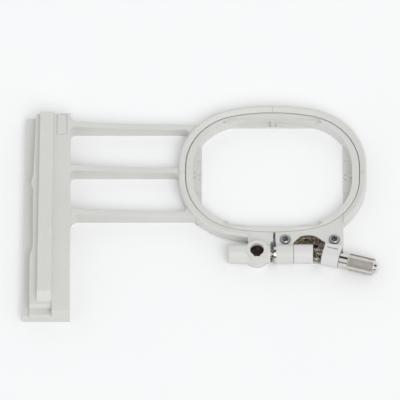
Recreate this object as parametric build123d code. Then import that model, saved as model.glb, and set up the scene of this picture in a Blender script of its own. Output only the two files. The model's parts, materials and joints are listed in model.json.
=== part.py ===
from build123d import *
from math import asin, cos, radians, sin
import os

os.makedirs("parts", exist_ok=True)

# Millimetres. X runs along the hoop's long side, away from the bar; Y points away from the screw; Z is up.
# The origin is the middle of the sewing field, on the table plane.

# Fits and gaps
running_gap = 0.05          # radial, between a shaft and its bearing
free_gap = 0.45             # radial, round a turning piece that touches nothing
seat_gap = 0.15             # between pieces that are slid or dropped into place
overlap = 0.6               # how far a web runs into its neighbour before they are joined
pick_reach = 0.15           # how near its expected place an edge is looked for

# Ring: three ovals, each of two flat arcs, four corner arcs and two short straight sides
ring_half_x = 52.8
ring_half_y = 43.0
outer_band_x = 3.9          # from the ring's outside in to the seam
outer_band_y = 4.5
inner_band_x = 4.3          # from the seam in to the well's wall
inner_band_y = 3.5
corner_radius_share = 0.8623    # of the seam's half width
ring_straight_half = 4.31
seam_straight_half = 3.71
well_straight_half = 4.51
seam_gap = 0.3
ring_height = 7.5           # at the seam and over the clamp
crown_rise = 1.2            # from the seam up to the band's crest
crown_run = 2.6
ring_edge_radius = 1.3
ring_foot_radius = 2.6
foot_clear_share = 0.7      # of the foot's radius, kept clear under the arms' web
moulded_edge = 0.4          # rounding of the mouldings' outer edges
crown_top = ring_height + crown_rise
seam_half_x = ring_half_x - outer_band_x
seam_half_y = ring_half_y - outer_band_y
well_half_x = seam_half_x - inner_band_x
well_half_y = seam_half_y - inner_band_y

# Inner frame
inner_step = 0.2            # how far the inner frame stands above the outer one
inner_edge_radius = 0.8
flange_thickness = 1.5
flange_reach_x = 4.85       # from the well's wall in to the straight edges of the field
flange_reach_y = 2.6
rebate_depth = 1.1
rebate_inset = 0.1
rebate_length_share = 0.56     # of the well's half length
rebate_end_run = 3.0
rib_width = 1.6
rib_reach = 1.9
rib_height = 4.1
rib_notch_length = 1.4
rib_notch_depth = 1.6
mark_width = 0.5
mark_depth = 0.3
tick_pitch = 20.6
inner_height = ring_height + inner_step
field_half_x = well_half_x - flange_reach_x
field_half_y = well_half_y - flange_reach_y
rebate_chord_y = well_half_y - rebate_inset
rebate_half_length = rebate_length_share * well_half_x

# Bar's heights
bar_top = 11.8
ledge_height = 5.5
deck_drop = 1.0             # from the bar's top to its deck
ridge_height = 2.2
step_height = 7.0           # tread across the left part of the bar's near end
deck_height = bar_top - deck_drop
ridge_top = bar_top + ridge_height

# Arms
arm_width = 3.3
arm_pitch_share = 0.6512    # of the ring's half width
arm_count = 3
middle_arm_y = 1.3
arm_length = 60.8           # from the bar to the ring's end
arm_drop_at_bar = 0.5       # below the bar's top
arm_drop_at_ring = 0.1      # below the ring's top
arm_rise_share = 0.205      # of the rise to the bar, where the middle of the arms is
arm_middle_share = 0.52     # of the arms' length, from the bar
arms_end_share = 0.644      # of the ring's half length, inside its band
window_corner_radius = 2.6
arm_root_radius = 4.4
arm_pitch = arm_pitch_share * ring_half_y
arm_height_at_bar = bar_top - arm_drop_at_bar
arm_height_at_ring = ring_height - arm_drop_at_ring
arm_height_midway = arm_height_at_ring + arm_rise_share * (arm_height_at_bar - arm_height_at_ring)
arms_end_x = -arms_end_share * ring_half_x

# Bar: reaches and widths run left from its right face, lengths from its far end
bar_shoulder = 4.75         # from the far arm to the bar's far end
bar_length = 127.6
ridge_far_reach = 17.05
ridge_near_reach = 18.5
deck_far_ledge = 2.25
deck_middle_ledge = 3.75
deck_near_ledge = 4.1
low_far_ledge = 5.4
low_near_ledge = 3.9
bump_from_far_end = 43.4
bump_half_width = 3.9
bump_reach = 1.2
deck_step_from_near_end = 36.4
deck_step_run = 6.4
ridge_far_width = 7.3
ridge_near_width = 7.9
ridge_far_gap = 0.2
ridge_near_gap = 12.35
ridge_ramp_length = 5.2
ridge_foot_run = 0.4
step_length = 3.75          # from the bar's near end to the step's wall
step_chamfer = 1.5
step_radius = 0.6
step_side_gap = 0.1         # past the ridge's foot
bar_end_radius = 0.9
panel_margin = 1.8
panel_width = 6.1
panel_far_gap = 0.7
panel_length = 13.0
panel_depth = 0.3
panel_border = 0.5
hollow_right_wall = 2.4
hollow_width = 15.0
hollow_roof = 2.8
hollow_count = 7
hollow_wall = 2.2
bar_right_x = -ring_half_x - arm_length
bar_far_y = middle_arm_y + arm_pitch + arm_width / 2 + bar_shoulder
bar_near_y = bar_far_y - bar_length
arm_midway_x = bar_right_x + arm_middle_share * arm_length
ridge_far_left_x = bar_right_x - ridge_far_reach
ridge_near_left_x = bar_right_x - ridge_near_reach
ridge_far_right_x = ridge_far_left_x + ridge_far_width
ridge_near_right_x = ridge_near_left_x + ridge_near_width
ridge_far_y = bar_far_y - ridge_far_gap
ridge_near_y = bar_near_y + ridge_near_gap
ridge_foot_y = ridge_near_y - ridge_ramp_length
step_wall_y = bar_near_y + step_length
step_right_x = ridge_near_right_x + ridge_foot_run + step_side_gap
deck_far_x = ridge_far_left_x - deck_far_ledge
deck_middle_x = ridge_far_left_x - deck_middle_ledge
deck_near_x = ridge_near_left_x - deck_near_ledge
ledge_far_x = deck_far_x - low_far_ledge
ledge_near_x = deck_near_x - low_near_ledge
bump_y = bar_far_y - bump_from_far_end
deck_step_end_y = bar_near_y + deck_step_from_near_end
deck_step_start_y = deck_step_end_y + deck_step_run
panel_right_x = bar_right_x - panel_margin
panel_left_x = panel_right_x - panel_width
panel_far_y = bar_far_y - panel_far_gap
panel_near_y = panel_far_y - panel_length
hollow_right_x = bar_right_x - hollow_right_wall
hollow_left_x = hollow_right_x - hollow_width
hollow_top = bar_top - hollow_roof

# Clamp: its screw lies along X, and its places in Y are told from the ring's near edge
screw_offset = 8.5
screw_radius = 2.5
screw_chamfer = 0.35
screw_start_x = -20.0
lug_radius = 5.35
lug_foot_gap = 0.05         # from the lugs' round to the table
tube_end_cap = 4.8
left_lug_left_x = -13.8
lug_root_depth = 3.0        # into the ring's band
split_left_x = 0.2
split_right_x = 1.5
throat_left_x = -1.35
throat_right_x = 1.8
throat_offset = 1.7
right_lug_end_x = 11.6
bore_floor_gap = 0.6
boss_x = -8.85
boss_radius = 6.1
boss_rise = 5.5             # above the screw's axis
boss_hole_radius = 3.9
boss_floor = 1.2
boss_key_width = 3.6
boss_key_depth = 0.5
nut_rise = 3.2              # above the screw's axis
nut_slot_width = 1.0
nut_slot_depth = 0.5
screw_y = -ring_half_y - screw_offset
screw_z = lug_radius + lug_foot_gap
lug_root_y = lug_root_depth - ring_half_y
throat_y = -ring_half_y - throat_offset
tube_end_x = screw_start_x - tube_end_cap
boss_top = screw_z + boss_rise
nut_top = screw_z + nut_rise

# Discs in the split
disc_radius = 4.5
bush_flange_thickness = 0.9
bush_barrel_radius = 3.2
bush_barrel_length = 3.2
bush_rib_count = 14
bush_rib_depth = 0.7
bush_rib_share = 0.45       # of the pitch that each notch takes
washer_thickness = 0.6
clip_thickness = 0.6
clip_radius = 4.3
clip_groove_radius = 2.0
clip_lobe_radius = 1.0
clip_lobe_angle = 62.0
clip_band_radius = 3.0

# Joint pocket and floor: offsets are from the ring's near edge, depths from it into the ring
block_right_x = 39.6
block_left_offset = 4.3
block_right_offset = 5.3
tab_thickness = 0.6
tab_length = 2.0
arch_left_offset = 2.2
arch_start_x = 15.6
arch_start_depth = 1.9
arch_top_x = 19.8
arch_top_depth = 2.6
arch_end_x = 24.0
pocket_right_x = 29.3
pocket_right_offset = 2.0
shelf_offset = 3.0
shelf_height = 5.8
floor_thickness = 1.1
floor_half_width = 3.3
plate_inset = 0.2
plate_thickness = 1.0
plate_strap_left_x = 23.1
plate_strap_right_x = 25.5
plate_strap_length = 3.3
plate_strap_height = 0.9
plate_strap_thickness = 0.8
plate_bead_width = 0.8
plate_bead_height = 0.6
block_near_left_y = -ring_half_y - block_left_offset
block_near_right_y = -ring_half_y - block_right_offset
tab_near_y = block_near_right_y - tab_length
arch_left_y = -ring_half_y - arch_left_offset
arch_start_y = arch_start_depth - ring_half_y
arch_top_y = arch_top_depth - ring_half_y
pocket_right_y = -ring_half_y - pocket_right_offset
shelf_near_y = -ring_half_y - shelf_offset
plate_strap_far_y = shelf_near_y + plate_strap_length

# Screw cover and universal joint
cover_end_x = 22.5
joint_x = 24.5
knob_turn_deg = 15.0        # the knob's axis against the screw's, in plan
yoke_radius = 3.6
yoke_hub_face = 3.3         # from the joint's centre
yoke_ear_reach = 1.8        # past the joint's centre
yoke_ear_half_width = 1.5
yoke_slot_half = 2.4
yoke_ear_corner = 1.0
screw_hub_start_x = 11.9
screw_hub_pin_x = 17.5
knob_hub_end = 9.1
knob_hub_pin = 6.4
joint_pin_radius = 0.7
hub_pin_radius = 0.75
cross_half = 1.6
cross_corner = 0.3
fork_pin_inner = 1.35
cross_bore_radius = 1.3
cross_bore_floor = 0.95

# Knob and its bracket, measured along the knob's axis from the joint's centre
bracket_start = 3.7
bracket_end = 13.2
bracket_far_start = 5.1
bracket_far_end = 6.4
bush_start = 9.3
bush_radius = 4.0
slit_start = 5.3
slit_end = 11.6
slit_across = 3.2
slit_width = 0.6
slit_depth = 3.0
neck_start = 13.4
neck_radius = 3.8
sleeve_start = 18.2
sleeve_end = 33.5
sleeve_radius = 4.7
sleeve_chamfer = 0.6
core_radius = 3.2
tip_end = 35.4
tip_chamfer = 0.5
shaft_start = 3.6

# Cross-head screws
head_radius = 2.8
head_height = 1.9
head_dome_radius = 1.3
head_recess_length = 3.0
head_recess_width = 0.75
head_recess_depth = 1.0
shank_radius = 1.45
shank_length = 5.0
spot_radius = 3.2
spot_depth = 0.5
head_offset = 0.4           # from the ring's near edge
head_xs = (7.0, 34.5)
head_y = -ring_half_y - head_offset


def oval(half_x, half_y, straight_half, grow=0.0):
    """Face of an oval: straight sides, corner arcs that follow the seam's, and flat arcs that join them."""
    half_x, half_y = half_x + grow, half_y + grow
    corner = corner_radius_share * seam_half_y + half_x - seam_half_x
    run, rise = half_x - corner, half_y - straight_half
    flat = (run ** 2 + rise ** 2 - corner ** 2) / (2 * (rise - corner))
    turn = asin(run / (flat - corner))
    flat_centre_y = half_y - flat
    join = (flat * sin(turn), flat_centre_y + flat * cos(turn))
    half_turn = (radians(90) - turn) / 2
    middle = (run + corner * cos(half_turn), straight_half + corner * sin(half_turn))
    quarter = Line((half_x, 0), (half_x, straight_half))
    quarter += ThreePointArc((half_x, straight_half), middle, join)
    half_flat = (flat * sin(turn / 2), flat_centre_y + flat * cos(turn / 2))
    quarter += ThreePointArc(join, half_flat, (0, half_y))
    upper = quarter + mirror(quarter, Plane.YZ)
    return make_face(upper + mirror(upper, Plane.XZ))


def ring_oval():
    return oval(ring_half_x, ring_half_y, ring_straight_half)


def seam_oval(grow):
    return oval(seam_half_x, seam_half_y, seam_straight_half, grow)


def well_oval():
    return oval(well_half_x, well_half_y, well_straight_half)


def prism(points, low, high):
    face = make_face(Polyline(*points, close=True))
    return Pos(0, 0, low) * extrude(face, high - low)


def block(x, y, z):
    """Box between two bounds on each axis."""
    middle = [(low + high) / 2 for low, high in (x, y, z)]
    return Pos(*middle) * Box(*[high - low for low, high in (x, y, z)])


def soft_top(body, radius=moulded_edge):
    """Rounds the edges of a body's highest face."""
    return fillet(body.faces().sort_by(Axis.Z)[-1].edges(), radius)


def upright(radius, x, y, low, high):
    return Pos(x, y, (low + high) / 2) * Cylinder(radius, high - low)


def rod(radius, start, end):
    """Cylinder on the X axis."""
    return Pos((start + end) / 2, 0, 0) * Rot(0, 90, 0) * Cylinder(radius, end - start)


def along_screw(shape):
    return Pos(0, screw_y, screw_z) * shape


def along_knob(shape):
    return Pos(joint_x, screw_y, screw_z) * Rot(0, 0, -knob_turn_deg) * shape


def arm_middles():
    return [middle_arm_y + (n - (arm_count - 1) / 2) * arm_pitch for n in range(arm_count)]


def arms_web():
    """Arms at full height from the bar to a line just inside the ring's wall, with every root rounded."""
    plan = oval(ring_half_x, ring_half_y, ring_straight_half, -seat_gap)
    back_x = bar_right_x - hollow_wall
    plan += Pos((back_x + bar_right_x) / 2, (bar_far_y + bar_near_y) / 2) * Rectangle(
        bar_right_x - back_x, bar_far_y - bar_near_y)
    edges_y = []
    for y in arm_middles():
        plan += Pos(back_x / 2, y) * Rectangle(-back_x, arm_width)
        edges_y += [y - arm_width / 2, y + arm_width / 2]
    web = extrude(plan, bar_top)
    outer_y = (min(edges_y), max(edges_y))
    for radius, wanted in ((window_corner_radius, edges_y[1:-1]), (arm_root_radius, outer_y)):
        corners = [edge for edge in web.edges().filter_by(Axis.Z)
                   if edge.center().X > back_x + hollow_wall / 2
                   and any(abs(edge.center().Y - y) < pick_reach for y in wanted)]
        web = fillet(corners, radius)
    return web


def arms():
    back_x = bar_right_x - hollow_wall
    roof = Polyline((arms_end_x, arm_height_at_ring), (arms_end_x, 0),
                    (back_x, 0), (back_x, arm_height_at_bar))
    roof += ThreePointArc((back_x, arm_height_at_bar), (arm_midway_x, arm_height_midway),
                          (arms_end_x, arm_height_at_ring))
    side = make_face(roof)
    envelope = extrude(Plane.XZ * side, -bar_far_y - ring_half_y)
    envelope += extrude(Plane.XZ * side, bar_far_y - bar_near_y)
    foot_clear = ring_foot_radius * foot_clear_share
    foot = extrude(oval(ring_half_x, ring_half_y, ring_straight_half, -seat_gap), foot_clear)
    for y in arm_middles():
        foot -= block((-ring_half_x, 0), (y - arm_width / 2, y + arm_width / 2), (0, foot_clear))
    body = (arms_web() & envelope) - foot
    top = max(body.faces().filter_by(GeomType.CYLINDER), key=lambda face: face.normal_at().Z * face.area)
    ends = (back_x, arms_end_x)
    rims = [edge for edge in top.edges() if all(abs(edge.center().X - x) > pick_reach for x in ends)]
    return fillet(rims, moulded_edge)


def deck_edge():
    """Left edge of the bar's deck from the far end to the near end."""
    return [(deck_far_x, bar_far_y), (deck_middle_x, bump_y + bump_half_width),
            (deck_middle_x - bump_reach, bump_y), (deck_middle_x, bump_y - bump_half_width),
            (deck_middle_x, deck_step_start_y), (deck_near_x, deck_step_end_y),
            (deck_near_x, bar_near_y)]


def ridge():
    """Long guide ridge, narrowing towards the far end."""

    def section(y, left_x, right_x):
        low = deck_height - overlap
        outline = Polyline((left_x, low), (left_x, ridge_top), (right_x, ridge_top),
                           (right_x + ridge_foot_run, bar_top), (right_x + ridge_foot_run, low), close=True)
        return Plane.XZ.offset(-y) * make_face(outline)

    return soft_top(loft([section(ridge_far_y, ridge_far_left_x, ridge_far_right_x),
                          section(ridge_foot_y, ridge_near_left_x, ridge_near_right_x)], ruled=True))


def near_end_cut():
    """What is cut from the left of the bar's near end: a step, a chamfer, a flat and the ridge's ramp."""
    turn_z = step_height - step_radius
    middle = (bar_near_y + step_radius * (1 - cos(radians(45))), turn_z + step_radius * sin(radians(45)))
    profile = ThreePointArc((bar_near_y, turn_z), middle, (bar_near_y + step_radius, step_height))
    profile += Polyline((bar_near_y + step_radius, step_height), (step_wall_y, step_height),
                        (step_wall_y, deck_height - step_chamfer), (step_wall_y + step_chamfer, deck_height),
                        (ridge_foot_y, deck_height), (ridge_near_y, ridge_top),
                        (ridge_near_y, ridge_top + overlap), (bar_near_y - overlap, ridge_top + overlap),
                        (bar_near_y - overlap, turn_z), (bar_near_y, turn_z))
    return extrude(Plane.YZ.offset(ledge_near_x) * make_face(profile), step_right_x - ledge_near_x)


def bar_table():
    """Bar's top under the ridge, its near edge rounder than the others."""
    body = prism([(ridge_far_left_x, bar_far_y), (ridge_near_left_x, bar_near_y),
                  (bar_right_x, bar_near_y), (bar_right_x, bar_far_y)], 0, bar_top)
    body = fillet(body.faces().sort_by(Axis.Z)[-1].edges().sort_by(Axis.Y)[0], bar_end_radius)
    return fillet(body.faces().sort_by(Axis.Z)[-1].edges().sort_by(Axis.Y)[1:], moulded_edge)


def bar():
    right = [(bar_right_x, bar_near_y), (bar_right_x, bar_far_y)]
    body = prism([(ledge_far_x, bar_far_y), (ledge_near_x, bar_near_y)] + right, 0, ledge_height)
    body = soft_top(body)
    body += soft_top(prism(deck_edge() + right, 0, deck_height))
    body += bar_table()
    body += ridge()
    body -= near_end_cut()
    panel = block((panel_left_x, panel_right_x), (panel_near_y, panel_far_y),
                  (bar_top - panel_depth, bar_top))
    inside = block((panel_left_x + panel_border, panel_right_x - panel_border),
                   (panel_near_y + panel_border, panel_far_y - panel_border),
                   (bar_top - panel_depth, bar_top))
    body -= panel - inside
    pitch = (bar_far_y - step_wall_y - hollow_wall) / hollow_count
    for n in range(hollow_count):
        low = step_wall_y + hollow_wall + n * pitch
        body -= block((hollow_left_x, hollow_right_x), (low, low + pitch - hollow_wall), (0, hollow_top))
    return body


def left_lug():
    """Lug with the closed tube and the round boss of the barrel nut."""
    lug = block((left_lug_left_x, split_left_x), (screw_y, lug_root_y), (0, ring_height))
    tube = rod(lug_radius, tube_end_x, throat_left_x)
    lug += along_screw(fillet(tube.edges().filter_by(GeomType.CIRCLE), moulded_edge))
    lug += soft_top(upright(boss_radius, boss_x, screw_y, 0, boss_top))
    lug -= upright(boss_hole_radius, boss_x, screw_y, boss_floor, boss_top)
    key_y = screw_y - boss_hole_radius - boss_key_depth
    lug -= block((boss_x - boss_key_width / 2, boss_x + boss_key_width / 2), (key_y, screw_y),
                 (nut_top, boss_top))
    lug -= along_screw(rod(screw_radius + free_gap, screw_start_x - bore_floor_gap, throat_left_x))
    return lug - along_screw(rod(bush_barrel_radius, throat_left_x - bush_barrel_length, throat_left_x))


def right_lug():
    lug = block((split_right_x, right_lug_end_x), (screw_y, lug_root_y), (0, ring_height))
    tube = rod(lug_radius, throat_right_x, right_lug_end_x)
    lug += along_screw(fillet(tube.edges().filter_by(GeomType.CIRCLE).sort_by(Axis.X)[0], moulded_edge))
    return lug - along_screw(rod(screw_radius + running_gap, throat_right_x, right_lug_end_x))


def arch_outline(inset=0.0):
    """Far edge of the joint pocket from left to right."""
    line = Polyline((right_lug_end_x + inset, arch_left_y), (arch_start_x + inset / 2, arch_start_y - inset))
    line += ThreePointArc((arch_start_x + inset / 2, arch_start_y - inset), (arch_top_x, arch_top_y - inset),
                          (arch_end_x - inset / 2, arch_start_y - inset))
    line += Polyline((arch_end_x - inset / 2, arch_start_y - inset), (pocket_right_x - inset, pocket_right_y))
    return line


def pocket_face(near_y, inset=0.0):
    edge = arch_outline(inset)
    edge += Polyline((pocket_right_x - inset, pocket_right_y), (pocket_right_x - inset, near_y),
                     (right_lug_end_x + inset, near_y), (right_lug_end_x + inset, arch_left_y))
    return make_face(edge)


def ring_near_y(x):
    """Where the ring's near edge lies, right of its flat arc."""
    corner = corner_radius_share * seam_half_y + ring_half_x - seam_half_x
    return -ring_straight_half - (corner ** 2 - (x - ring_half_x + corner) ** 2) ** (1 / 2)


def joint_block():
    """Block right of the lugs, with the pocket, its shelf and the floor under the joint."""
    body = prism([(right_lug_end_x, lug_root_y + overlap), (right_lug_end_x, block_near_left_y),
                  (pocket_right_x, block_near_left_y), (block_right_x, block_near_right_y),
                  (block_right_x, ring_near_y(block_right_x) + overlap)], 0, ring_height)
    body += block((block_right_x - tab_thickness, block_right_x), (tab_near_y, block_near_right_y + overlap),
                  (0, ring_height))
    body -= block((right_lug_end_x, pocket_right_x), (block_near_left_y - overlap, shelf_near_y),
                  (floor_thickness, ring_height))
    run = bracket_end - overlap
    lean = radians(knob_turn_deg)
    far_corner = (joint_x + run * cos(lean), screw_y - run * sin(lean) - floor_half_width * cos(lean))
    body += prism([(right_lug_end_x - overlap, shelf_near_y),
                   (right_lug_end_x - overlap, screw_y - floor_half_width),
                   (joint_x, screw_y - floor_half_width), far_corner,
                   (far_corner[0] + overlap, block_near_right_y + overlap)], 0, floor_thickness)
    return body


def screw_holes():
    holes = []
    for x in head_xs:
        holes.append(upright(spot_radius, x, head_y, ring_height - spot_depth, ring_height + overlap))
        holes.append(upright(shank_radius + seat_gap, x, head_y,
                             ring_height - spot_depth - shank_length - seat_gap, ring_height))
    return holes


def ring_mark(start, end):
    """Shallow centre mark that follows the band's top outwards between two distances from the middle."""
    profile = Polyline((start, ring_height - mark_depth), (start + crown_run, crown_top - mark_depth),
                       (end, crown_top - mark_depth), (end, crown_top + overlap),
                       (start, crown_top + overlap), (start, ring_height - mark_depth))
    return extrude(Plane.XZ * make_face(profile), mark_width / 2, both=True)


def ring():
    """Outer band, round at its foot, its top rising from the seam to a crest except over the clamp."""
    body = soft_top(extrude(ring_oval(), crown_top), ring_edge_radius)
    body = fillet(body.faces().sort_by(Axis.Z)[0].edges(), ring_foot_radius)
    slope = [Pos(0, 0, ring_height) * seam_oval(seam_gap / 2), Pos(0, 0, crown_top) * seam_oval(crown_run)]
    body -= loft(slope, ruled=True)
    return body - block((left_lug_left_x, block_right_x), (-ring_half_y, 0), (ring_height, crown_top))


def outer_frame():
    body = arms() + ring() + bar() + left_lug() + right_lug() + joint_block()
    body -= extrude(seam_oval(seam_gap / 2), ridge_top)
    body -= block((split_left_x, split_right_x), (screw_y, -seam_half_y + overlap), (0, ridge_top))
    body -= block((throat_left_x, throat_right_x), (screw_y - lug_radius, throat_y), (0, ridge_top))
    body -= Pos(0, 0, shelf_height) * extrude(pocket_face(shelf_near_y), ring_height)
    for hole in screw_holes():
        body -= hole
    for turn, half, seam_half in ((0, ring_half_x, seam_half_x), (90, ring_half_y, seam_half_y),
                                  (180, ring_half_x, seam_half_x)):
        body -= Rot(0, 0, turn) * ring_mark(seam_half, half)
    return body


def inner_frame():
    body = soft_top(extrude(seam_oval(-seam_gap / 2), inner_height), inner_edge_radius)
    body -= Pos(0, 0, flange_thickness) * extrude(well_oval(), inner_height)
    field = well_oval() & Rectangle(2 * field_half_x, 2 * field_half_y)
    body -= extrude(field, flange_thickness)
    for side in (-1, 1):
        chord, end = side * rebate_chord_y, side * (rebate_chord_y - rebate_end_run)
        body -= prism([(-rebate_half_length, chord), (rebate_half_length, chord),
                       (rebate_half_length + rebate_end_run, end),
                       (-rebate_half_length - rebate_end_run, end)],
                      inner_height - rebate_depth, inner_height)
    for turn, reach, edge in sides():
        body += Rot(0, 0, turn) * block((reach - rib_reach, reach + overlap),
                                        (-rib_width / 2, rib_width / 2), (0, rib_height))
        for side in (-1, 1):
            low = rib_width / 2 if side > 0 else -rib_width / 2 - rib_notch_length
            body -= Rot(0, 0, turn) * block((edge - overlap, edge + rib_notch_depth),
                                            (low, low + rib_notch_length), (0, flange_thickness))
    for turn in (0, 180):
        for y in (-tick_pitch / 2, tick_pitch / 2):
            body -= Rot(0, 0, turn) * block((field_half_x, well_half_x - rib_reach),
                                            (y - mark_width / 2, y + mark_width / 2),
                                            (flange_thickness - mark_depth, flange_thickness))
    return body


def sides():
    """Turn about Z, distance to the well's wall and distance to the flange's edge, for the four sides."""
    return [(0, well_half_x, field_half_x), (180, well_half_x, field_half_x),
            (90, well_half_y, field_half_y), (270, well_half_y, field_half_y)]


def barrel_nut():
    nut = upright(boss_hole_radius - seat_gap, boss_x, screw_y, boss_floor, nut_top)
    nut -= along_screw(rod(screw_radius + running_gap, tube_end_x, throat_left_x))
    return nut - block((boss_x - boss_hole_radius, boss_x + boss_hole_radius),
                       (screw_y - nut_slot_width / 2, screw_y + nut_slot_width / 2),
                       (nut_top - nut_slot_depth, nut_top))


def guide_bush():
    """Flanged bush in the mouth of the left lug, its flange notched all round."""
    flange = rod(disc_radius, throat_left_x, throat_left_x + bush_flange_thickness)
    pitch = 360 / bush_rib_count
    notch = block((throat_left_x, throat_left_x + bush_flange_thickness),
                  (-disc_radius * sin(radians(pitch * bush_rib_share / 2)),
                   disc_radius * sin(radians(pitch * bush_rib_share / 2))),
                  (disc_radius - bush_rib_depth, disc_radius + overlap))
    for n in range(bush_rib_count):
        flange -= Rot(n * pitch, 0, 0) * notch
    flange += rod(bush_barrel_radius, throat_left_x - bush_barrel_length, throat_left_x)
    return along_screw(flange - rod(screw_radius + running_gap, throat_left_x - bush_barrel_length,
                                    throat_left_x + bush_flange_thickness))


def thrust_washer():
    start = throat_right_x - washer_thickness
    return along_screw(rod(disc_radius, start, throat_right_x)
                       - rod(screw_radius + running_gap, start, throat_right_x))


def clip_end_x():
    return throat_right_x - washer_thickness - running_gap


def retaining_clip():
    """Open ring with three lobes that bear in the screw's groove."""
    start, end = clip_end_x() - clip_thickness, clip_end_x()
    ring = rod(clip_radius, start, end) - rod(clip_groove_radius, start, end)
    ring -= block((start, end), (-clip_groove_radius, clip_groove_radius), (-clip_radius, 0))
    for angle in (-clip_lobe_angle, clip_lobe_angle):
        lobe = rod(clip_lobe_radius, start, end)
        ring -= Rot(angle, 0, 0) * Pos(0, 0, clip_band_radius - clip_lobe_radius / 2) * lobe
    return along_screw(ring)


def clamp_screw():
    body = rod(screw_radius, screw_start_x, joint_x - yoke_hub_face - overlap)
    start, end = clip_end_x() - clip_thickness, clip_end_x()
    body -= rod(screw_radius + overlap, start, end) - rod(clip_groove_radius, start, end)
    body -= Pos(screw_hub_pin_x, 0, 0) * Cylinder(hub_pin_radius, 2 * screw_radius)
    return along_screw(chamfer(body.edges().filter_by(GeomType.CIRCLE).sort_by(Axis.X)[0], screw_chamfer))


def yoke(hub_length):
    """Yoke about the origin, its hub to the left and its two ears reaching past the centre."""
    body = rod(yoke_radius, -hub_length, yoke_ear_reach)
    body -= block((-yoke_hub_face, yoke_ear_reach), (-yoke_slot_half, yoke_slot_half),
                  (-yoke_radius, yoke_radius))
    for side in (-1, 1):
        flat = sorted((side * yoke_ear_half_width, side * yoke_radius))
        body -= block((-yoke_hub_face, yoke_ear_reach), (-yoke_radius, yoke_radius), flat)
    tips = body.edges().filter_by(Axis.Y).group_by(Axis.X)[-1]
    body = fillet(tips, yoke_ear_corner)
    body -= Rot(90, 0, 0) * Cylinder(joint_pin_radius, 2 * yoke_radius)
    return body


def screw_yoke():
    hub_length = joint_x - screw_hub_start_x
    body = yoke(hub_length) - rod(screw_radius, -hub_length, -yoke_hub_face)
    body -= Pos(screw_hub_pin_x - joint_x, 0, 0) * Cylinder(hub_pin_radius, 2 * yoke_radius)
    return along_screw(Pos(joint_x, 0, 0) * body)


def hub_pin():
    """Pin across a hub, trimmed to the hub's round."""
    return Cylinder(hub_pin_radius, 2 * yoke_radius) & rod(yoke_radius, -hub_pin_radius, hub_pin_radius)


def screw_yoke_pin():
    return along_screw(Pos(screw_hub_pin_x, 0, 0) * hub_pin())


def cross_block():
    body = Box(2 * cross_half, 2 * cross_half, 2 * cross_half)
    body = chamfer(body.edges(), cross_corner)
    body -= Rot(90, 0, 0) * Cylinder(joint_pin_radius, 2 * yoke_radius)
    for side in (-1, 1):
        middle = side * (cross_bore_floor + cross_half) / 2
        body -= Pos(0, 0, middle) * Cylinder(cross_bore_radius, cross_half - cross_bore_floor)
    return along_screw(Pos(joint_x, 0, 0) * body)


def cross_pin():
    pin = Rot(90, 0, 0) * Cylinder(joint_pin_radius, 2 * yoke_radius)
    return along_screw(Pos(joint_x, 0, 0) * (pin & rod(yoke_radius, -joint_pin_radius, joint_pin_radius)))


def screw_cover():
    """Open tube over the screw's yoke, flat where it stands on the floor."""
    start = right_lug_end_x + seat_gap
    tube = rod(lug_radius, start, cover_end_x)
    tube = fillet(tube.edges().filter_by(GeomType.CIRCLE), moulded_edge)
    tube -= rod(yoke_radius + free_gap, start, cover_end_x)
    return along_screw(tube) - block((start, cover_end_x), (screw_y - lug_radius, screw_y + lug_radius),
                                     (0, floor_thickness))


def bracket_plate():
    """Steel plate on the pocket's shelf, with a bead at its edge and a strap turned down over the shelf."""
    low, high = shelf_height, shelf_height + plate_thickness
    plate = Pos(0, 0, low) * extrude(pocket_face(shelf_near_y, plate_inset), plate_thickness)
    bead = extrude(pocket_face(shelf_near_y, plate_inset + plate_bead_width), plate_bead_height)
    bead -= extrude(pocket_face(shelf_near_y, plate_inset + 2 * plate_bead_width), plate_bead_height)
    far_half = block((right_lug_end_x, plate_strap_left_x), (arch_left_y, arch_top_y), (high, ring_height))
    plate += (Pos(0, 0, high) * bead) & far_half
    plate += block((plate_strap_left_x, plate_strap_right_x), (shelf_near_y, plate_strap_far_y),
                   (low, high + plate_strap_height))
    return plate + block((plate_strap_left_x, plate_strap_right_x),
                         (shelf_near_y - plate_strap_thickness, shelf_near_y),
                         (floor_thickness, high + plate_strap_height))


def knob_bracket():
    """Bracket that holds the knob's bearing: round towards the near side, square towards the ring."""
    foot_z = floor_thickness - screw_z
    foot_y = -(lug_radius ** 2 - foot_z ** 2) ** (1 / 2)
    profile = ThreePointArc((0, lug_radius), (-lug_radius, 0), (foot_y, foot_z))
    profile += Polyline((foot_y, foot_z), (bracket_far_end, foot_z),
                        (bracket_far_end, lug_radius), (0, lug_radius))
    body = extrude(Plane.YZ.offset(bracket_start) * make_face(profile), bracket_end - bracket_start)
    body -= prism([(bracket_start, bracket_far_start), (bracket_end, bracket_far_end),
                   (bracket_start, bracket_far_end)], -lug_radius, lug_radius)
    ends = body.faces().filter_by(Axis.X)
    rims = [edge for face in ends for edge in face.edges() if edge.center().Z > foot_z / 2]
    body = fillet(rims, moulded_edge)
    body -= rod(yoke_radius + free_gap, bracket_start, bush_start)
    body -= rod(bush_radius, bush_start, bracket_end)
    body -= block((slit_start, slit_end), (slit_across - slit_width / 2, slit_across + slit_width / 2),
                  (lug_radius - slit_depth, lug_radius))
    return along_knob(body)


def knob_bush():
    return along_knob(rod(bush_radius, bush_start, bracket_end)
                      - rod(screw_radius + running_gap, bush_start, bracket_end))


def knob_yoke():
    body = Rot(0, 0, 180) * Rot(90, 0, 0) * yoke(knob_hub_end)
    body -= rod(screw_radius, yoke_hub_face, knob_hub_end)
    return along_knob(body - Pos(knob_hub_pin, 0, 0) * Cylinder(hub_pin_radius, 2 * yoke_radius))


def knob_yoke_pin():
    return along_knob(Pos(knob_hub_pin, 0, 0) * hub_pin())


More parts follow.
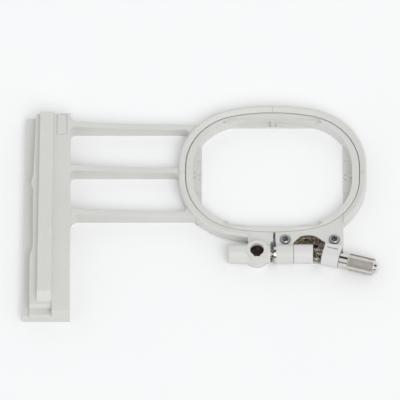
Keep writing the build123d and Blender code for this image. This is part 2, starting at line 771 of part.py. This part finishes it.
def fork_pins():
    """Two short pins in the knob yoke's ears, ending inside the cross block's wide bores."""
    pin = Cylinder(joint_pin_radius, 2 * yoke_radius) & rod(yoke_radius, -joint_pin_radius, joint_pin_radius)
    return along_knob(pin - Cylinder(yoke_radius, 2 * fork_pin_inner))


def knob_spindle():
    body = rod(screw_radius, shaft_start + overlap, neck_start + overlap)
    body += rod(neck_radius, neck_start, sleeve_start)
    tip = rod(core_radius, sleeve_start, tip_end)
    body += chamfer(tip.edges().filter_by(GeomType.CIRCLE).sort_by(Axis.X)[-1], tip_chamfer)
    return along_knob(body - Pos(knob_hub_pin, 0, 0) * Cylinder(hub_pin_radius, 2 * yoke_radius))


def knurled_sleeve():
    body = rod(sleeve_radius, sleeve_start, sleeve_end)
    body = chamfer(body.edges().filter_by(GeomType.CIRCLE), sleeve_chamfer)
    return along_knob(body - rod(core_radius, sleeve_start, sleeve_end))


def cover_screw():
    """Pan-head screw with a cross recess, its shoulder at height zero."""
    head = Pos(0, 0, head_height / 2) * Cylinder(head_radius, head_height)
    head = fillet(head.faces().sort_by(Axis.Z)[-1].edges(), head_dome_radius)
    recess = Box(head_recess_length, head_recess_width, 2 * head_recess_depth)
    recess += Box(head_recess_width, head_recess_length, 2 * head_recess_depth)
    head -= Pos(0, 0, head_height) * recess
    return head + Pos(0, 0, -shank_length / 2) * Cylinder(shank_radius, shank_length)


def cover_screws():
    return Compound([Pos(x, head_y, ring_height - spot_depth) * cover_screw() for x in head_xs])


for build in (outer_frame, inner_frame, barrel_nut, guide_bush, thrust_washer, retaining_clip, clamp_screw,
              screw_yoke, screw_yoke_pin, cross_block, cross_pin, screw_cover, bracket_plate, knob_bracket,
              knob_bush, knob_yoke, knob_yoke_pin, fork_pins, knob_spindle, knurled_sleeve, cover_screws):
    shape = build()
    solids = shape.solids()
    box = shape.bounding_box()
    print(build.__name__, len(solids), "solids", round(sum(s.volume for s in solids), 2), "mm3",
          [round(v, 2) for v in (*box.min, *box.max)], shape.is_valid)
    export_step(Compound(solids) if len(solids) > 1 else solids[0], "parts/" + build.__name__ + ".step")
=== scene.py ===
import json
from math import cos, pi, radians, sin, tan

import bmesh
import bpy
from mathutils import Matrix, Vector


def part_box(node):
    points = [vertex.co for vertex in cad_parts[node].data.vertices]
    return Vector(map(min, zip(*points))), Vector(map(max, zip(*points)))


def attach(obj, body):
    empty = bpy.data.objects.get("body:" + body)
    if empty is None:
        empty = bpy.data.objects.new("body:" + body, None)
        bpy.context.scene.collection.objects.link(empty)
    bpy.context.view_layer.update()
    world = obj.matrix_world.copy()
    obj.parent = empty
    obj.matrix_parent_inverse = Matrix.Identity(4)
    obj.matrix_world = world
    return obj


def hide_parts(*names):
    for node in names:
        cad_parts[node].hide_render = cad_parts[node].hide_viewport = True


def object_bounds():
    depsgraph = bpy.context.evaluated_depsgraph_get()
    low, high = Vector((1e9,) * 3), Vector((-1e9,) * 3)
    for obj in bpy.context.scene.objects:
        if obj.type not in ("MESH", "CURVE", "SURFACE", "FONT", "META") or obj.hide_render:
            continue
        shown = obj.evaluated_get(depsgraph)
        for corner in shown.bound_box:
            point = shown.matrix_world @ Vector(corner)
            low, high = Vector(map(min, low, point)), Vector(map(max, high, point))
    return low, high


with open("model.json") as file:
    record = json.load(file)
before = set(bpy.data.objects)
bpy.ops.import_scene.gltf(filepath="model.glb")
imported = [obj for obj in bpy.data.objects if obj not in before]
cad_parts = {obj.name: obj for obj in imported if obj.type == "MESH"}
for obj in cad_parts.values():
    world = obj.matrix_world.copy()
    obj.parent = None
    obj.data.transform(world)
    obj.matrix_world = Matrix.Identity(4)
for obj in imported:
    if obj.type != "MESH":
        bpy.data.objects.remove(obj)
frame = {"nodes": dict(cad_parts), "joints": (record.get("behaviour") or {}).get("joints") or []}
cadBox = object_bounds()
nodes = frame["nodes"]
joints = {joint["name"]: joint for joint in frame["joints"]}
mm = 0.001
mergeDistance = 0.0001 * mm     # points closer than this become one
print("frame loaded:", len(nodes), "nodes")


class Wire:     # a shader socket that takes part in ordinary sums
    def __init__(self, bench, socket):
        self.bench = bench
        self.socket = socket

    def maths(self, operation, *values):
        return self.bench.node("ShaderNodeMath", {"operation": operation}, dict(enumerate(values)))

    def __add__(self, other):
        return self.maths("ADD", self, other)

    def __radd__(self, other):
        return self.maths("ADD", other, self)

    def __sub__(self, other):
        return self.maths("SUBTRACT", self, other)

    def __rsub__(self, other):
        return self.maths("SUBTRACT", other, self)

    def __mul__(self, other):
        return self.maths("MULTIPLY", self, other)

    def __rmul__(self, other):
        return self.maths("MULTIPLY", other, self)

    def between(self, low, high):   # 0 below low, 1 above high, smooth in between
        return self.bench.node("ShaderNodeMapRange", {"interpolation_type": "SMOOTHSTEP"},
                               {"Value": self, "From Min": low, "From Max": high})

    def swing(self):    # a pattern from 0 to 1, moved to swing about 0
        return self - 0.5


class Bench:    # the nodes of one material or of the world
    def __init__(self, owner):
        self.owner = owner
        owner.use_nodes = True
        self.tree = owner.node_tree
        self.tree.nodes.clear()

    def node(self, kind, settings=None, inputs=None, output=0):
        made = self.tree.nodes.new(kind)
        for key, value in (settings or {}).items():
            setattr(made, key, value)
        for key, value in (inputs or {}).items():
            if isinstance(value, Wire):
                self.tree.links.new(value.socket, made.inputs[key])
            else:
                made.inputs[key].default_value = value
        if made.outputs:
            return Wire(self, made.outputs[output])

    def place(self):
        return self.node("ShaderNodeTexCoord", output="Object")

    def vector(self, operation, first, second, output="Vector"):
        return self.node("ShaderNodeVectorMath", {"operation": operation}, {0: first, 1: second}, output)

    def turned(self, centre, turn, stretch):    # a piece's own axes: centred, turned about Z, stretched
        moved = self.vector("SUBTRACT", self.place(), centre)
        straight = self.node("ShaderNodeMapping", None, {"Vector": moved, "Rotation": (0, 0, turn)})
        return self.vector("MULTIPLY", straight, stretch)

    def noise(self, where, size, detail, rough=0.5):
        return self.node("ShaderNodeTexNoise", None,
                         {"Vector": where, "Scale": 1 / size, "Detail": detail, "Roughness": rough})

    def mix(self, factor, first, second):   # of colours, which are inputs 6 and 7 and output 2
        return self.node("ShaderNodeMix", {"data_type": "RGBA"}, {0: factor, 6: first, 7: second}, 2)

    def softNormal(self, radius, samples=6):    # rounds sharp edges in the shading
        return self.node("ShaderNodeBevel", {"samples": samples}, {"Radius": radius})

    def edges(self, soft):      # 0 on flats, rising at edges
        flat = self.node("ShaderNodeNewGeometry", output="Normal")
        return 1 - self.vector("DOT_PRODUCT", soft, flat, "Value")

    def bump(self, height, depth, normal):
        return self.node("ShaderNodeBump", None,
                         {"Height": height, "Distance": depth, "Normal": normal})

    def finish(self, sockets):
        shader = self.node("ShaderNodeBsdfPrincipled", None, sockets)
        self.node("ShaderNodeOutputMaterial", None, {"Surface": shader})
        return self.owner


def plastic(name, look):
    bench = Bench(bpy.data.materials.new(name))
    place = bench.place()
    soft = bench.softNormal(look["edgeRadius"])
    # edge mask: edges are painted lighter below, partly wear and partly a painted highlight along rounded
    # edges
    wearAndHighlight = bench.edges(soft).between(*look["edgeRange"])
    cloud = bench.noise(place, look["cloudSize"], look["cloudDetail"]).between(*look["cloudRange"])
    speck = bench.noise(place, look["speckSize"], look["speckDetail"]).between(*look["speckRange"])
    grain = bench.noise(place, look["grainSize"], look["grainDetail"], look["grainRough"])
    sink = bench.noise(place, look["sinkSize"], look["sinkDetail"])
    colour = bench.mix(cloud, look["colour"], look["colourShade"])
    colour = bench.mix(speck * look["speckShare"], colour, look["speckColour"])
    colour = bench.mix(wearAndHighlight * look["edgeShare"], colour, look["edgeColour"])
    roughness = (look["roughness"] + look["cloudRoughness"] * cloud.swing()
                 + look["grainRoughness"] * grain.swing() - look["edgePolish"] * wearAndHighlight)
    if look["rubShare"]:
        along = bench.vector("MULTIPLY", place, look["rubStretch"])
        rub = bench.noise(along, look["rubSize"], look["rubDetail"])
        height = bench.node("ShaderNodeSeparateXYZ", None, {0: place}, "Z")
        rubbed = rub.between(*look["rubRange"]) * height.between(*look["rubHeight"])
        colour = bench.mix(rubbed * look["rubShare"], colour, look["edgeColour"])
        roughness = roughness - look["rubPolish"] * rubbed
    relief = bench.bump(sink, look["sinkDepth"], soft)
    relief = bench.bump(grain, look["grainDepth"], relief)
    return bench.finish({"Base Color": colour, "Roughness": roughness, "Normal": relief,
                         "IOR": look["ior"], "Specular IOR Level": look["specular"]})


def metal(name, look):
    bench = Bench(bpy.data.materials.new(name))
    soft = bench.softNormal(look["edgeRadius"])
    # edge mask: edges are painted lighter below, partly wear and partly a painted highlight along rounded
    # edges
    wearAndHighlight = bench.edges(soft).between(*look["edgeRange"])
    along = bench.turned(look["centre"], look["turn"], (1, look["crossShare"], look["crossShare"]))
    lines = bench.noise(along, look["lineSize"], look["lineDetail"], look["lineRough"])
    cloud = bench.noise(bench.place(), look["cloudSize"], look["cloudDetail"], look["cloudRough"])
    patch = cloud.between(*look["patchRange"])
    colour = bench.mix(patch, look["colour"], look["patchColour"])
    colour = bench.mix(wearAndHighlight * look["edgeShare"], colour, look["edgeColour"])
    roughness = (look["roughness"] + look["lineRoughness"] * lines.swing()
                 + look["patchRoughness"] * patch)
    metallic = 1 - look["patchDull"] * patch if look["patchDull"] else 1
    relief = bench.bump(lines, look["lineDepth"], soft)
    relief = bench.bump(cloud, look["cloudDepth"], relief)
    return bench.finish({"Base Color": colour, "Metallic": metallic, "Roughness": roughness,
                         "Normal": relief})


framePlasticLook = {
    "colour": (0.652, 0.657, 0.628, 1), "colourShade": (0.628, 0.630, 0.598, 1),
    "cloudSize": 24 * mm, "cloudDetail": 3.0, "cloudRange": (0.3, 0.7), "cloudRoughness": 0.10,
    "speckColour": (0.4326, 0.42, 0.3948, 1), "speckShare": 0.25,
    "speckSize": 1.1 * mm, "speckDetail": 1.0, "speckRange": (0.70, 0.78),
    # light grey edges: partly wear, partly a painted highlight along rounded edges
    "edgeColour": (0.84, 0.84, 0.84, 1), "edgeShare": 0.6, "edgeRadius": 0.42 * mm,
    "edgeRange": (0.02, 0.3), "edgePolish": 0.08,
    "grainSize": 0.30 * mm, "grainDetail": 2.0, "grainRough": 0.6, "grainDepth": 0.012 * mm,
    "grainRoughness": 0.06, "sinkSize": 14 * mm, "sinkDetail": 1.0, "sinkDepth": 0.10 * mm,
    # rub marks run along the bar, where the carriage's clip slides over the ridge
    "rubShare": 0.35, "rubSize": 0.5 * mm, "rubStretch": (1, 0.04, 1), "rubDetail": 3.0,
    "rubRange": (0.55, 0.75), "rubHeight": (12.6 * mm, 13.0 * mm), "rubPolish": 0.12,
    "roughness": 0.46, "ior": 1.5, "specular": 0.5,
}
innerPlasticLook = framePlasticLook | {
    "colour": (0.660, 0.664, 0.640, 1), "colourShade": (0.636, 0.638, 0.610, 1), "rubShare": 0,
}
coverPlasticLook = framePlasticLook | {
    "colour": (0.70, 0.688, 0.685, 1), "colourShade": (0.675, 0.662, 0.655, 1), "rubShare": 0,
    "grainSize": 0.24 * mm, "roughness": 0.40,
}

screwCentre = Vector(joints["screw_turn"]["pos_m"])
knobCentre = Vector(joints["knob_turn"]["pos_m"])
knobAxis = Vector(joints["knob_turn"]["axis"]).normalized()
knobTurn = -knobAxis.angle(Vector((1, 0, 0)))   # about Z, clockwise seen from above

steelLook = {
    "colour": (0.46, 0.42, 0.35, 1), "patchColour": (0.10, 0.072, 0.048, 1),
    "cloudSize": 1.3 * mm, "cloudDetail": 4.0, "cloudRough": 0.6, "cloudDepth": 0.02 * mm,
    "patchRange": (0.44, 0.60), "patchRoughness": 0.14, "patchDull": 0.25,
    # pale edges: partly wear, partly a painted highlight
    "edgeColour": (0.78, 0.76, 0.72, 1), "edgeShare": 0.8, "edgeRadius": 0.14 * mm,
    "edgeRange": (0.03, 0.35), "centre": screwCentre, "turn": 0.0, "crossShare": 0.05,
    "lineSize": 0.12 * mm, "lineDetail": 2.0, "lineRough": 0.6, "lineDepth": 0.010 * mm,
    "lineRoughness": 0.18, "roughness": 0.30,
}
oxideLook = steelLook | {
    "colour": (0.050, 0.037, 0.026, 1), "patchColour": (0.085, 0.060, 0.040, 1),
    "cloudSize": 2.2 * mm, "cloudDepth": 0.05 * mm,
    "patchRange": (0.50, 0.70), "patchRoughness": 0.10, "patchDull": 0.6,
    "edgeColour": (0.40, 0.33, 0.25, 1), "edgeShare": 0.4, "edgeRadius": 0.16 * mm,
    "crossShare": 0.4, "lineSize": 0.5 * mm, "lineDepth": 0.02 * mm, "roughness": 0.42,
}
plateLook = steelLook | {
    "colour": (0.36, 0.30, 0.215, 1), "patchColour": (0.055, 0.038, 0.024, 1),
    "cloudSize": 1.5 * mm, "cloudDepth": 0.16 * mm,
    "patchRange": (0.44, 0.56), "patchRoughness": 0.12, "patchDull": 0.3,
    # pale edges: partly wear, partly painted highlight lines
    "edgeColour": (0.86, 0.80, 0.68, 1), "edgeShare": 0.9, "edgeRadius": 0.28 * mm,
    "crossShare": 0.6, "lineSize": 0.7 * mm, "lineDepth": 0.05 * mm, "roughness": 0.22,
}
brightLook = steelLook | {
    "colour": (0.74, 0.74, 0.74, 1), "patchColour": (0.60, 0.59, 0.57, 1),
    "cloudSize": 3.0 * mm, "cloudDepth": 0.006 * mm, "patchRoughness": 0.08, "patchDull": 0,
    "edgeColour": (0.88, 0.88, 0.88, 1), "edgeShare": 0.4, "edgeRadius": 0.08 * mm,
    "lineDepth": 0.004 * mm, "lineRoughness": 0.10, "roughness": 0.16,
}
nickelLook = brightLook | {
    "colour": (0.76, 0.745, 0.71, 1), "patchColour": (0.70, 0.68, 0.64, 1), "centre": knobCentre,
    "turn": -knobTurn, "lineSize": 0.18 * mm, "lineDepth": 0.006 * mm, "roughness": 0.12,
}
knurlLook = nickelLook | {
    "colour": (0.63, 0.61, 0.575, 1), "patchColour": (0.58, 0.56, 0.52, 1), "patchRoughness": 0.05,
    "edgeColour": (0.86, 0.84, 0.80, 1), "edgeShare": 0.5, "edgeRadius": 0.05 * mm,
    "cloudDepth": 0.003 * mm, "lineSize": 0.12 * mm, "roughness": 0.30,
}
screwHeadLook = brightLook | {
    "colour": (0.38, 0.405, 0.42, 1), "patchColour": (0.28, 0.30, 0.315, 1),
    # near-white edges of the head and cross recess: painted glints, partly wear
    "edgeColour": (0.92, 0.93, 0.94, 1), "edgeShare": 0.9, "edgeRadius": 0.16 * mm,
    "centre": (0, 0, 0), "crossShare": 1.0, "lineSize": 0.35 * mm,
}

plastics = {
    "framePlastic": framePlasticLook,
    "innerPlastic": innerPlasticLook,
    "coverPlastic": coverPlasticLook,
}
metals = {
    "steel": steelLook,
    "oxideSteel": oxideLook,
    "bronzedSteel": plateLook,
    "brightSteel": brightLook,
    "nickel": nickelLook,
    "knurledNickel": knurlLook,
    "screwHeads": screwHeadLook,
}
materials = {name: plastic(name, look) for name, look in plastics.items()}
materials |= {name: metal(name, look) for name, look in metals.items()}
print("materials made:", len(materials))

finishes = {
    "framePlastic": ["outer_frame"],
    "innerPlastic": ["inner_frame"],
    "coverPlastic": ["screw_cover", "knob_bracket"],
    "oxideSteel": ["barrel_nut"],
    "bronzedSteel": ["bracket_plate"],
    "steel": ["guide_bush", "clamp_screw", "screw_yoke", "screw_yoke_pin", "cross_block", "knob_bush",
              "knob_yoke", "knob_yoke_pin"],
    "brightSteel": ["thrust_washer", "retaining_clip", "cross_pin", "fork_pins"],
    "nickel": ["knob_spindle"],
    "knurledNickel": ["knurled_sleeve"],
    "screwHeads": ["cover_screws"],
}
for finish, names in finishes.items():
    for name in names:
        nodes[name].data.materials.clear()
        nodes[name].data.materials.append(materials[finish])
print("CAD nodes finished")


def linked(name, data):     # an object that shows the data, in the scene
    made = bpy.data.objects.new(name, data)
    bpy.context.scene.collection.objects.link(made)
    return made


def meshed(name, bm):
    mesh = bpy.data.meshes.new(name)
    bm.to_mesh(mesh)
    bm.free()
    return linked(name, mesh)


def newPiece(name, bm, body, node):   # has the finish of the node that it replaces
    bmesh.ops.remove_doubles(bm, verts=bm.verts, dist=mergeDistance)
    bmesh.ops.recalc_face_normals(bm, faces=bm.faces)
    piece = meshed(name, bm)
    piece.data.materials.append(nodes[node].data.materials[0])
    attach(piece, body)
    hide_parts(node)


def ringLoop(bm, edges, step, scale):   # extrudes a loop of edges along Z, then scales it about Z
    made = bmesh.ops.extrude_edge_only(bm, edges=edges)["geom"]
    verts = [part for part in made if isinstance(part, bmesh.types.BMVert)]
    bmesh.ops.translate(bm, vec=(0, 0, step), verts=verts)
    bmesh.ops.scale(bm, vec=(scale, scale, 1), verts=verts)
    return [part for part in made if isinstance(part, bmesh.types.BMEdge)], verts


alongX = Matrix.Rotation(pi / 2, 4, "Y")    # lays a piece made along Z along X
knobFrame = Matrix.Translation(knobCentre) @ Matrix.Rotation(knobTurn, 4, "Z") @ alongX


def knurledSleeve():
    sizes = {
        "start": 18.2 * mm, "end": 33.5 * mm, "radius": 4.7 * mm, "bore": 3.22 * mm,
        "ridges": 60, "ridgeDepth": 0.24 * mm, "chamfer": 0.6 * mm,
    }
    radius, chamfer = sizes["radius"], sizes["chamfer"]
    length = sizes["end"] - sizes["start"]
    endRadius = radius - chamfer
    grooveShare = (radius - sizes["ridgeDepth"]) / radius
    bm = bmesh.new()
    bmesh.ops.create_circle(bm, segments=2 * sizes["ridges"], radius=endRadius)
    start = list(bm.edges)
    edges, verts = ringLoop(bm, start, chamfer, radius / endRadius)
    around = sorted(verts, key=lambda vert: Vector((1, 0)).angle_signed(vert.co.xy))
    # every second point goes down into a groove
    bmesh.ops.scale(bm, vec=(grooveShare, grooveShare, 1), verts=around[::2])
    edges = ringLoop(bm, edges, length - 2 * chamfer, 1)[0]
    edges, verts = ringLoop(bm, edges, chamfer, 1)
    for vert in verts:
        vert.co.xy = vert.co.xy.normalized() * endRadius
    edges = ringLoop(bm, edges, 0, sizes["bore"] / endRadius)[0]
    edges = ringLoop(bm, edges, -length, 1)[0]
    bmesh.ops.bridge_loops(bm, edges=edges + start)
    place = knobFrame @ Matrix.Translation((0, 0, sizes["start"]))
    bmesh.ops.transform(bm, matrix=place, verts=bm.verts)
    newPiece("knurledSleeve", bm, "knob", "knurled_sleeve")


def lathe(bm, profile, segments):   # turns (along, radius) points round the Z axis
    verts = [bm.verts.new((radius, 0, along)) for along, radius in profile]
    edges = [bm.edges.new(pair) for pair in zip(verts, verts[1:])]
    bmesh.ops.spin(bm, geom=verts + edges, cent=(0, 0, 0), axis=(0, 0, 1), angle=2 * pi, steps=segments,
                   use_merge=True)


threadShape = {
    "crestStart": 0.34, "crestEnd": 0.46, "footEnd": 0.86,      # shares of the pitch
    "sunk": 0.1,    # how far the foot lies inside the core, as a share of the ridge's height
    "steps": 24,    # to a turn
}


def threadRidge(bm, low, high, core, crest, pitch):     # a helical ridge about Z with closed ends
    foot = core - threadShape["sunk"] * (crest - core)
    outline = ((low, foot), (low + threadShape["crestStart"] * pitch, crest),
               (low + threadShape["crestEnd"] * pitch, crest),
               (low + threadShape["footEnd"] * pitch, foot))
    verts = [bm.verts.new((radius, 0, along)) for along, radius in outline]
    edges = [bm.edges.new((verts[n - 1], verts[n])) for n in range(len(verts))]
    known = set(bm.edges) - set(edges)
    turns = int((high - low) / pitch - threadShape["footEnd"])      # whole turns that fit
    steps = threadShape["steps"]
    bmesh.ops.spin(bm, geom=verts + edges, cent=(0, 0, 0), axis=(0, 0, 1), dvec=(0, 0, pitch / steps),
                   angle=2 * pi * turns, steps=steps * turns)
    openEdges = [edge for edge in bm.edges if edge not in known and edge.is_boundary]
    bmesh.ops.holes_fill(bm, edges=openEdges)


def clampScrew():
    sizes = {
        "start": -20.0 * mm, "threadEnd": -1.6 * mm, "grooveStart": 0.55 * mm, "grooveEnd": 1.15 * mm,
        "end": 20.6 * mm, "radius": 2.5 * mm, "core": 2.06 * mm, "groove": 2.0 * mm,
        "pitch": 0.8 * mm, "bevel": 0.35 * mm, "segments": 72,
    }
    radius, core, bevel = sizes["radius"], sizes["core"], sizes["bevel"]
    profile = (
        (sizes["start"], 0), (sizes["start"], core - bevel), (sizes["start"] + bevel, core),
        (sizes["threadEnd"], core), (sizes["threadEnd"] + bevel, radius),
        (sizes["grooveStart"], radius), (sizes["grooveStart"], sizes["groove"]),
        (sizes["grooveEnd"], sizes["groove"]), (sizes["grooveEnd"], radius),
        (sizes["end"], radius), (sizes["end"], 0),
    )
    bm = bmesh.new()
    lathe(bm, profile, sizes["segments"])
    threadRidge(bm, sizes["start"] + bevel, sizes["threadEnd"], core, radius, sizes["pitch"])
    place = Matrix.Translation((0, screwCentre.y, screwCentre.z)) @ alongX
    bmesh.ops.transform(bm, matrix=place, verts=bm.verts)
    newPiece("clampScrew", bm, "screw", "clamp_screw")


def coverScrews():
    sizes = {
        "headRadius": 2.8 * mm, "headHeight": 1.9 * mm, "rim": 0.6 * mm, "dome": 1.3 * mm,
        "domeSteps": 6, "topSpread": 1.04, "crossReach": 1.45 * mm, "crossDepth": 1.15 * mm,
        "crossHalfAngle": radians(15), "crossTaper": 0.5, "core": 1.2 * mm, "crest": 1.45 * mm,
        "length": 5.0 * mm, "pitch": 0.5 * mm, "tipBevel": 0.2 * mm,
        "turns": (radians(24), radians(68)), "segments": 48,
    }
    low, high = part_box("cover_screws")
    shoulder = high[2] - sizes["headHeight"]
    middleY = (low[1] + high[1]) / 2
    places = (low[0] + sizes["headRadius"], high[0] - sizes["headRadius"])
    tip, bevelEnd = -sizes["length"], -sizes["length"] + sizes["tipBevel"]
    flat = sizes["headRadius"] - sizes["dome"]
    rises = [pi / 2 * n / sizes["domeSteps"] for n in range(sizes["domeSteps"])]
    arc = [(sizes["rim"] + sizes["dome"] * sin(rise), flat + sizes["dome"] * cos(rise)) for rise in rises]
    arcEnd, arcEndRadius = arc[-1]
    profile = ((tip, 0), (tip, sizes["core"] - sizes["tipBevel"]), (bevelEnd, sizes["core"]),
               (0, sizes["core"]), (0, sizes["headRadius"]), *arc)
    topRadius = flat * sizes["topSpread"]
    armHalfWidth = sizes["crossReach"] * tan(sizes["crossHalfAngle"])
    quarter = pi / 2
    bm = bmesh.new()
    for x, turn in zip(places, sizes["turns"]):
        head = bmesh.new()
        lathe(head, profile, sizes["segments"])
        threadRidge(head, bevelEnd, 0, sizes["core"], sizes["crest"], sizes["pitch"])
        bmesh.ops.remove_doubles(head, verts=head.verts, dist=mergeDistance)
        edges = [edge for edge in head.edges if edge.is_boundary]
        edges = ringLoop(head, edges, sizes["headHeight"] - arcEnd, topRadius / arcEndRadius)[0]
        edges, verts = ringLoop(head, edges, 0, 1)
        for vert in verts:      # the loop takes the outline of the cross
            angle = abs((vert.co.xy.angle_signed(Vector((1, 0))) + quarter / 2) % quarter - quarter / 2)
            atTip = angle <= sizes["crossHalfAngle"]
            reach = sizes["crossReach"] / cos(angle) if atTip else armHalfWidth / sin(angle)
            vert.co.xy = vert.co.xy.normalized() * reach
        edges = ringLoop(head, edges, -sizes["crossDepth"], sizes["crossTaper"])[0]
        bmesh.ops.holes_fill(head, edges=edges)
        place = Matrix.Translation((x, middleY, shoulder)) @ Matrix.Rotation(turn, 4, "Z")
        bmesh.ops.transform(head, matrix=place, verts=head.verts)
        mesh = bpy.data.meshes.new("head")
        head.to_mesh(mesh)
        head.free()
        bm.from_mesh(mesh)
        bpy.data.meshes.remove(mesh)
    newPiece("coverScrews", bm, "frame", "cover_screws")


knurledSleeve()
clampScrew()
coverScrews()
print("knurled sleeve, clamp screw and cover screws made")


def floor():
    sizes = {"reach": 3.0, "segments": 64, "below": 0.02 * mm, "cloudSize": 60 * mm, "cloudDetail": 2.0,
             "colour": (0.93, 0.935, 0.935, 1), "colourShade": (0.92, 0.925, 0.93, 1),
             "roughness": 0.9, "specular": 0.1}
    bm = bmesh.new()
    bmesh.ops.create_circle(bm, cap_ends=True, segments=sizes["segments"], radius=sizes["reach"])
    bmesh.ops.translate(bm, vec=(0, 0, cadBox[0].z - sizes["below"]), verts=bm.verts)
    piece = meshed("floor", bm)
    bench = Bench(bpy.data.materials.new("palePaper"))
    cloud = bench.noise(bench.place(), sizes["cloudSize"], sizes["cloudDetail"])
    colour = bench.mix(cloud, sizes["colour"], sizes["colourShade"])
    piece.data.materials.append(bench.finish({"Base Color": colour, "Roughness": sizes["roughness"],
                                              "Specular IOR Level": sizes["specular"]}))


def camera():
    sizes = {"target": (-40.76 * mm, -13.77 * mm, 0), "distance": 8.0, "tilt": radians(29.3),
             "pixelsPerMetre": 1780.0, "imageWidth": 400, "sensor": 36.0, "farLimit": 30.0}
    data = bpy.data.cameras.new("camera")
    data.sensor_width = sizes["sensor"]
    data.lens = sizes["pixelsPerMetre"] * sizes["sensor"] * sizes["distance"] / sizes["imageWidth"]
    data.clip_end = sizes["farLimit"]
    eye = linked("camera", data)
    eye.matrix_world = (Matrix.Translation(sizes["target"]) @ Matrix.Rotation(sizes["tilt"], 4, "X")
                        @ Matrix.Translation((0, 0, sizes["distance"])))
    bpy.context.scene.camera = eye


def light():
    # a pale tent, a little darker overhead, with a weak broad lamp;
    # the dark patches overhead and low in front band the metal
    sizes = {
        "sun": 1.15, "sunFrom": Vector((0.24, -0.62, 0.74)), "sunSpread": radians(42), "room": 0.985,
        "pale": (1, 1, 1, 1), "dark": (0.04, 0.04, 0.045, 1), "roof": (0.82, 0.82, 0.83, 1),
        # middle, cosines of the angles from it where the shade starts and is full, shade
        "patches": (((0, 0, 1), 0.25, 0.95, "roof"), ((0, 0.30, 0.95), 0.92, 0.96, "dark"),
                    ((0, -0.96, 0.28), 0.88, 0.94, "dark")),
    }
    data = bpy.data.lights.new("softSun", "SUN")
    data.energy = sizes["sun"]
    data.angle = sizes["sunSpread"]
    sun = linked("softSun", data)
    sun.rotation_mode = "QUATERNION"
    sun.rotation_quaternion = sizes["sunFrom"].to_track_quat("Z", "Y")
    world = bpy.data.worlds.new("room")
    bpy.context.scene.world = world
    bench = Bench(world)
    way = bench.node("ShaderNodeTexCoord", output="Generated")
    colour = sizes["pale"]
    for middle, start, full, shade in sizes["patches"]:
        towards = bench.vector("DOT_PRODUCT", way, Vector(middle).normalized(), "Value")
        colour = bench.mix(towards.between(start, full), colour, sizes[shade])
    background = bench.node("ShaderNodeBackground", None, {"Color": colour, "Strength": sizes["room"]})
    bench.node("ShaderNodeOutputWorld", None, {"Surface": background})


floor()
camera()
light()
bpy.context.scene.view_settings.view_transform = "Standard"
print("floor, camera and light made")
